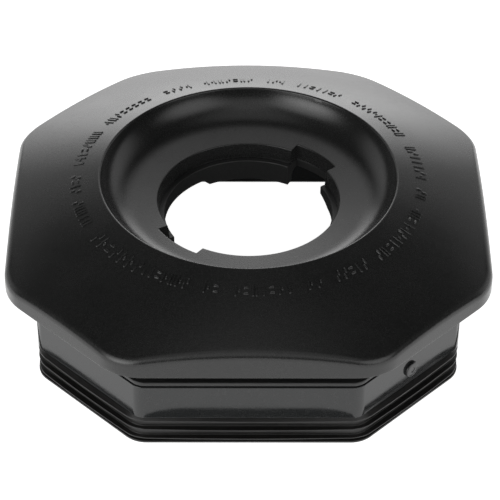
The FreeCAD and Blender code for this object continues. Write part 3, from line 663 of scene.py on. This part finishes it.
def make_skirt():
    theta = directions(2.5, 0.2, CORNERS)
    s, foot_low, groove = SKIRT_HALF, SKIRT_LOW.z, 0.9
    flange_low, groove_low = LEDGE_BOTTOM - 2.5, LEDGE_BOTTOM - 0.75
    foot, inside, inside_corner = s - FOOT_INSET, s - FOOT_INSET - FOOT_WALL, FOOT_CORNER - FOOT_WALL
    section = [
        (s, WALL_LOW, 0.35, SKIRT_CORNER, 0), (s, groove_low, 0.3, SKIRT_CORNER, 0),
        (s - groove, groove_low, 0.1, SKIRT_CORNER - groove, 0),
        (s - groove, LEDGE_BOTTOM, 0, SKIRT_CORNER - groove, 0),
        (s - FLANGE_REACH, LEDGE_BOTTOM, 0, 1.0, 0), (s - FLANGE_REACH, flange_low, 0.3, 1.0, 0),
        (s - SKIRT_WALL, flange_low, 0.6, SKIRT_CORNER - SKIRT_WALL, 0),
        (s - SKIRT_WALL, WALL_LOW + 2, 0.4, SKIRT_CORNER - SKIRT_WALL, 0),
        (inside, WALL_LOW + 2, 0.4, inside_corner, FOOT_SPREAD),
        (inside, foot_low, 0.3, inside_corner, FOOT_SPREAD),
        (foot, foot_low, 0.3, FOOT_CORNER, FOOT_SPREAD), (foot, WALL_LOW, 0.1, FOOT_CORNER, FOOT_SPREAD),
    ]
    shells = [tube_of_rings(swept_octagon(theta, section, SKIRT_GAP), closed=True)]
    for x, y in quarter_turns(BOSSES):
        shells.append(boss_shell(x, y, BOSS_RADIUS, flange_low, LEDGE_BOTTOM, SCREW_HOLE))
    piece("skirt_shell", shells, "lid", GLOSS, ["skirt_body"])


def make_seal():
    """The finned seal. Its base stands on the ground, and its fins bow outwards in mid face."""
    theta = directions(2.5, 0.25, [(a, 4.2) for a, _ in CORNERS])
    half, corner = SKIRT_HALF - FOOT_INSET + SEAL_GAP, FOOT_CORNER + SEAL_GAP
    web, tip = 0.9, SEAL_HIGH.x - FIN_MARGIN - half     # how far the web and the fins' tips are outside half
    lip, step_low, step_top = tip - 0.4, 2.9, 3.5

    def row(out, height, rounding, wider=0.0):
        """A row of the section, its corner radius grown as it is set out, and by wider."""
        return half + out, height, rounding, corner + out + wider, FOOT_SPREAD

    section = [
        row(0, SEAL_HIGH.z, 0.2), row(0, step_top, 0.1), row(-FOOT_WALL, step_top, 0.3),
        row(-FOOT_WALL, step_low, 0.3), row(1.5, 0, 0.2), row(lip - 0.3, 0, 0.2, wider=0.3),
        row(lip, 0.3, 0.2), row(lip, 1.0, 0.15), row(web, 1.3, 0.25),
    ]
    for top in FIN_TOPS:
        section += [row(web, top - FIN_EDGE - FIN_FLARE, 0.25), row(tip, top - FIN_EDGE, 0.2),
                    row(tip, top, 0.18), row(web, top + FIN_FLARE, 0.25)]
    section[-1] = row(tip - 1.6, SEAL_HIGH.z, 0.3)     # the top fin's upper side slopes up to the wall
    rings = swept_octagon(theta, section, SKIRT_GAP)
    folded = folded_eighth(theta)
    corner_at = math.atan2(SKIRT_HALF - SKIRT_CUT, SKIRT_HALF)
    along_face = np.where(folded < corner_at, np.tan(folded) / math.tan(corner_at),
                          np.tan(math.pi / 4 - folded) / math.tan(math.pi / 4 - corner_at))
    bow = FIN_BOW * along_face ** 2
    for points in rings:
        reach = np.hypot(points[:, 0], points[:, 1])
        root = octagon_reach(theta, half + web, SKIRT_GAP + FOOT_SPREAD, corner + web)
        proud = np.clip((reach - root) / (tip - web), 0, 1) * (points[:, 2] > 1.5)
        wave = FIN_WAVE * (np.sin(5 * theta + points[0, 2]) + 0.6 * np.sin(13 * theta + 2.3 * points[0, 2]))
        points[:, :2] *= (1 - proud * bow / reach)[:, None]
        points[:, 2] += wave * proud
    piece("jar_seal_band", [tube_of_rings(rings, closed=True)], "seal", RUBBER, ["jar_seal"])


# ---------------------------------------------------------------------------------------------------------
# Bayonet collar and vent plug
# ---------------------------------------------------------------------------------------------------------
def track_height(theta, stop, track, flange):
    """The height of the collar's lower edge: stop lug, chamfer, track, ramp and notch, twice round."""
    begin, stop_begin, stop_end, track_begin, track_end, ramp_end = -119.5, -118.9, -62.0, -57.0, 17.0, 29.3
    degrees = (np.degrees(theta) - begin) % 180 + begin
    return np.interp(degrees, [begin, stop_begin, stop_end, track_begin, track_end, ramp_end, begin + 180],
                     [flange, stop, stop, track, track, flange, flange])


def make_collar():
    bore, ring_wall, flange_low, track, edge = 30.2, 3.0, 40.1, 37.6, 0.3
    sides = [(side % 360, NOTCH_FINE) for side in NOTCH_SIDES]
    theta = directions(1.0, 0.1, sides)
    notched = in_notch(theta)
    inner = bore + notched * (NOTCH_REACH - bore)
    outer = bore + ring_wall + notched * (NOTCH_REACH + 0.6 - bore - ring_wall)
    low = track_height(theta, COLLAR_LOW.z, track, flange_low)
    low = low + notched * (flange_low - low)
    top = COLLAR_HIGH.z
    bevel = 0.1
    rings = [ring(theta, inner + edge * out, top - edge * down) for down, out in quarter_arc(3)]
    rings += [ring(theta, inner, top * (1 - share) + (low + edge) * share) for share in (0.33, 0.66)]
    rings += [ring(theta, inner + edge * out, low + edge * up) for out, up in quarter_arc(3)]
    rings += [ring(theta, outer - edge * inwards, low + edge * up) for up, inwards in quarter_arc(3)]
    rings += [ring(theta, reach, height) for reach, height in (
        (outer, flange_low), (HUB_REACH - edge, flange_low), (HUB_REACH, flange_low + edge),
        (HUB_REACH, top - bevel), (HUB_REACH - bevel, top))]
    shells = [tube_of_rings(rings, closed=True)]
    for x, y in quarter_turns([(EAR_REACH, 0)]):
        shells.append(boss_shell(x, y, SMALL_BOSS_RADIUS, flange_low, top, SMALL_SCREW_HOLE))
    piece("bayonet_collar_ring", shells, "lid", INNER, ["bayonet_collar"])


def make_vent_plug():
    """A pressed-in plug: domed head with a dimple, shank and barb behind the wall. The section's heights run
    outwards from the wall's face."""
    face = SKIRT_HALF + SKIRT_GAP
    outward = Vector((1, -1, 0)).normalized()
    place = outward * face + Vector((0, 0, (PLUG_LOW.z + PLUG_HIGH.z) / 2))
    head, rise, dimple = (PLUG_HIGH.z - PLUG_LOW.z) / 2, 1.05, 0.25
    shank, barb, under_head, barb_top, barb_edge, end = 2.0, 2.5, 0.02, -2.6, -3.0, -4.2
    section = [
        (0, rise - dimple, 0), (0.9, rise - dimple, 0.2), (1.2, rise, 0.2), (head, rise, 0.45),
        (head, under_head, 0.05), (shank, under_head, 0), (shank, barb_top, 0), (barb, barb_top, 0.1),
        (barb, barb_edge, 0.1), (1.4, end, 0.2), (0, end, 0),
    ]
    shell = turned_shell(section, place, outward, count=56)
    piece("vent_plug_pin", [shell], "lid", GLOSS, ["vent_plug"])


make_cover()
make_neck_ring()
make_skirt()
make_seal()
make_collar()
make_vent_plug()

KEPT_NODES = (                          # CAD nodes that are shown as they are, with a better material
    ("cover_gasket", RUBBER, "black_rubber"), ("throat_o_ring", RUBBER, "black_rubber"),
    ("cover_screws", STEEL, "stainless_steel"), ("collar_screws", STEEL, "stainless_steel"),
)
for node, material, slot in KEPT_NODES:
    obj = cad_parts[node]
    obj.data.materials.clear()
    obj.data.materials.append(material)

# ---------------------------------------------------------------------------------------------------------
# Floor, light and camera
# ---------------------------------------------------------------------------------------------------------
# Name, azimuth (0 is +X and -90 the camera's side), elevation, spread from the middle, radiance
SOFT_LIGHTS = [
    ("back_low", 90, 5, 30, 2.6), ("back_right", 35, 10, 35, 0.9), ("back_left", 145, 10, 35, 0.8),
    ("back_middle", 90, 25, 35, 0.6), ("back_high", 90, 45, 30, 0.3), ("overhead", -90, 75, 30, 0.55),
    ("front_high", -90, 40, 26, 0.7), ("front_left", -135, 25, 30, 2.4),
    ("front_left_low", -135, 5, 30, 2.0), ("front_right", -45, 25, 30, 1.7),
]


def towards(azimuth, elevation):
    """The unit vector in a direction given in degrees."""
    a, e = math.radians(azimuth), math.radians(elevation)
    return Vector((math.cos(a) * math.cos(e), math.sin(a) * math.cos(e), math.sin(e)))


def make_world(lights):
    """A dark studio with broad soft lights, each fading smoothly from its middle to its spread."""
    world = bpy.data.worlds.new("studio")
    world.use_nodes = True
    tree = world.node_tree
    place = tree.nodes.new("ShaderNodeTexCoord").outputs["Generated"]
    total = None
    for name, azimuth, elevation, spread, radiance in lights:
        facing = tree.nodes.new("ShaderNodeVectorMath")
        facing.operation = "DOT_PRODUCT"
        facing.inputs[1].default_value = towards(azimuth, elevation)
        tree.links.new(place, facing.inputs[0])
        fade = tree.nodes.new("ShaderNodeMapRange")
        fade.interpolation_type = "SMOOTHSTEP"
        fade.label = name
        fade.inputs["From Min"].default_value = math.cos(math.radians(spread))
        fade.inputs["From Max"].default_value = 1.0
        fade.inputs["To Max"].default_value = radiance
        tree.links.new(facing.outputs["Value"], fade.inputs["Value"])
        if total is None:
            total = fade.outputs["Result"]
            continue
        both = tree.nodes.new("ShaderNodeMath")
        tree.links.new(total, both.inputs[0])
        tree.links.new(fade.outputs["Result"], both.inputs[1])
        total = both.outputs[0]
    tree.links.new(total, tree.nodes["Background"].inputs["Color"])
    bpy.context.scene.world = world


def make_floor():
    """A flat pale floor that glows as a white light table does."""
    size = 6.0                          # metres
    corners = [(-size, -size, 0), (size, -size, 0), (size, size, 0), (-size, size, 0)]
    mesh = bpy.data.meshes.new("floor")
    mesh.from_pydata(corners, [], [(0, 1, 2, 3)])
    floor = bpy.data.objects.new("floor", mesh)
    bpy.context.scene.collection.objects.link(floor)
    nodes = Nodes("floor")
    shade = nodes.tint(nodes.noise(40, 3), 0.3, 0.7, (0.60, 0.60, 0.60), (0.62, 0.62, 0.62))
    nodes.link(shade, nodes.shader.inputs["Base Color"])
    nodes.shader.inputs["Roughness"].default_value = 0.9
    nodes.shader.inputs["Specular IOR Level"].default_value = 0.1
    nodes.shader.inputs["Emission Color"].default_value = (1, 1, 1, 1)
    nodes.shader.inputs["Emission Strength"].default_value = 1.0
    mesh.materials.append(nodes.material)


def make_painted_shade_card():
    """Painted shade: a dark card on the ground under the lid and in a band round it, which the camera doesn't
    see. It stands for the shade there, where a light table would otherwise shine up into the lid, and the
    lid's faces show it as shade."""
    count, height, shift = 180, 0.15, 0.6
    lid_half, lid_gap, lid_corner = 73.0, 6.0, 8.0
    band_inner, band_outer, band_corner = (86.9, 1.2), (92.4, -2.0), 30.0     # each edge is (half, gap)
    theta = np.linspace(0, 2 * math.pi, count, endpoint=False)
    under = ring(theta, octagon_reach(theta, lid_half, lid_gap, lid_corner), height)
    inner = ring(theta, octagon_reach(theta, *band_inner, band_corner), height)
    outer = ring(theta, octagon_reach(theta, *band_outer, band_corner), height)
    points = (np.vstack([under, inner, outer, [[0, 0, height]]]) + (shift, 0, 0)) * MM
    after = [(k + 1) % count for k in range(count)]
    faces = [(k, after[k], 3 * count) for k in range(count)]
    faces += [(count + k, count + after[k], 2 * count + after[k], 2 * count + k) for k in range(count)]
    mesh = bpy.data.meshes.new("painted_shade_card")
    mesh.from_pydata([tuple(p) for p in points], [], faces)
    card = bpy.data.objects.new("painted_shade_card", mesh)
    bpy.context.scene.collection.objects.link(card)
    nodes = Nodes("painted_shade_card")
    # near black: the colour of the painted shade that the card puts on the ground
    nodes.shader.inputs["Base Color"].default_value = (0.01, 0.01, 0.01, 1)
    nodes.shader.inputs["Roughness"].default_value = 0.9
    nodes.shader.inputs["Specular IOR Level"].default_value = 0.0
    mesh.materials.append(nodes.material)
    card.visible_camera = False
    card.visible_shadow = False


def make_camera():
    """Above the front, looking down at about forty degrees, a touch to one side and a touch askew."""
    elevation, distance, above_ground = math.radians(39.07), 815.9, 60.6
    sideways, downwards = 0.67, 27.32       # the middle of the view from the crest's centre
    askew, tilt = math.radians(0.44), math.radians(0.36)
    turn = Matrix.Rotation(-askew, 3, "Z") @ Matrix.Rotation(math.pi / 2 - elevation, 3, "X")
    data = bpy.data.cameras.new("camera")
    data.lens, data.sensor_width = 165.0, 36.0
    data.clip_start, data.clip_end = 0.05, 30
    made = bpy.data.objects.new("camera", data)
    made.location = (turn @ Vector((sideways, -downwards, distance)) + Vector((0, 0, above_ground))) * MM
    made.rotation_euler = (turn @ Matrix.Rotation(tilt, 3, "Z")).to_euler()
    bpy.context.scene.collection.objects.link(made)
    bpy.context.scene.camera = made


make_world(SOFT_LIGHTS)
make_floor()
make_painted_shade_card()
make_camera()
bpy.context.scene.view_settings.view_transform = "Standard"
